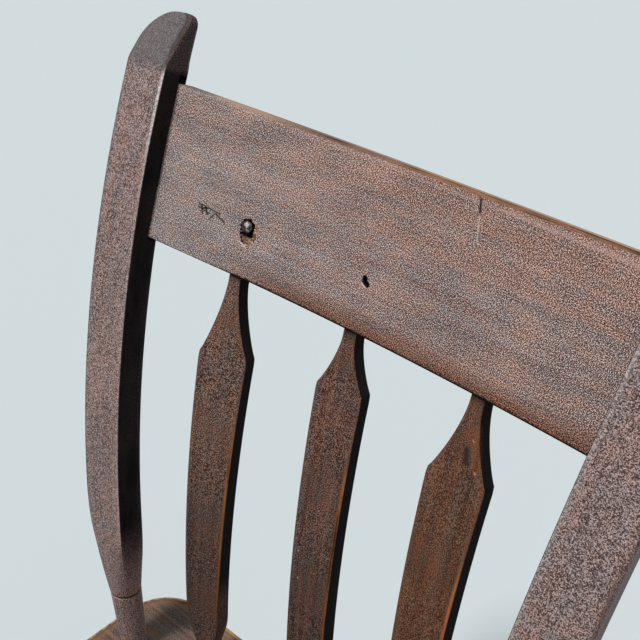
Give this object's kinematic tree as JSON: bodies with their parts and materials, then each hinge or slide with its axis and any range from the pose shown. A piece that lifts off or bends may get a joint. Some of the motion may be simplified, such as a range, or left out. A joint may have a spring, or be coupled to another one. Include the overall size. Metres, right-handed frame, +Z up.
{
  "type": "arrow back windsor chair",
  "caption": "Plank-seat wooden side chair with splayed turned legs and stretchers, and a bent back of flat arrow-shaped spindles between posts under a deep crest rail.",
  "frame": {"origin": "on the floor, under the middle of the chair's bounding box", "axes": "+Z up, the chair faces -Y, +X is to the right of someone who stands before the chair and looks at it"},
  "size_m": [0.435, 0.4828, 0.9164],
  "materials": {
    "stained_wood": "old dark brown finish, satin, crackled",
    "worn_wood": "old brown finish, rubbed through to orange wood on the edges",
    "bare_wood": "bare end grain, darkened",
    "old_iron": "dark rusted iron"
  },
  "bodies": {
    "root": {"seat": "worn_wood", "leg_front_left": "stained_wood", "leg_front_right": "stained_wood", "leg_rear_left": "stained_wood", "leg_rear_right": "stained_wood", "stretcher_front": "stained_wood", "stretcher_left": "stained_wood", "stretcher_right": "stained_wood", "stretcher_rear": "stained_wood", "post_left": "stained_wood", "post_right": "stained_wood", "crest_rail": "worn_wood", "spindle_left": "worn_wood", "spindle_centre": "worn_wood", "spindle_right": "worn_wood", "leg_wedges": "bare_wood", "post_wedges": "bare_wood", "crest_pins": "bare_wood", "crest_nails": "old_iron"}
  },
  "joints": []
}
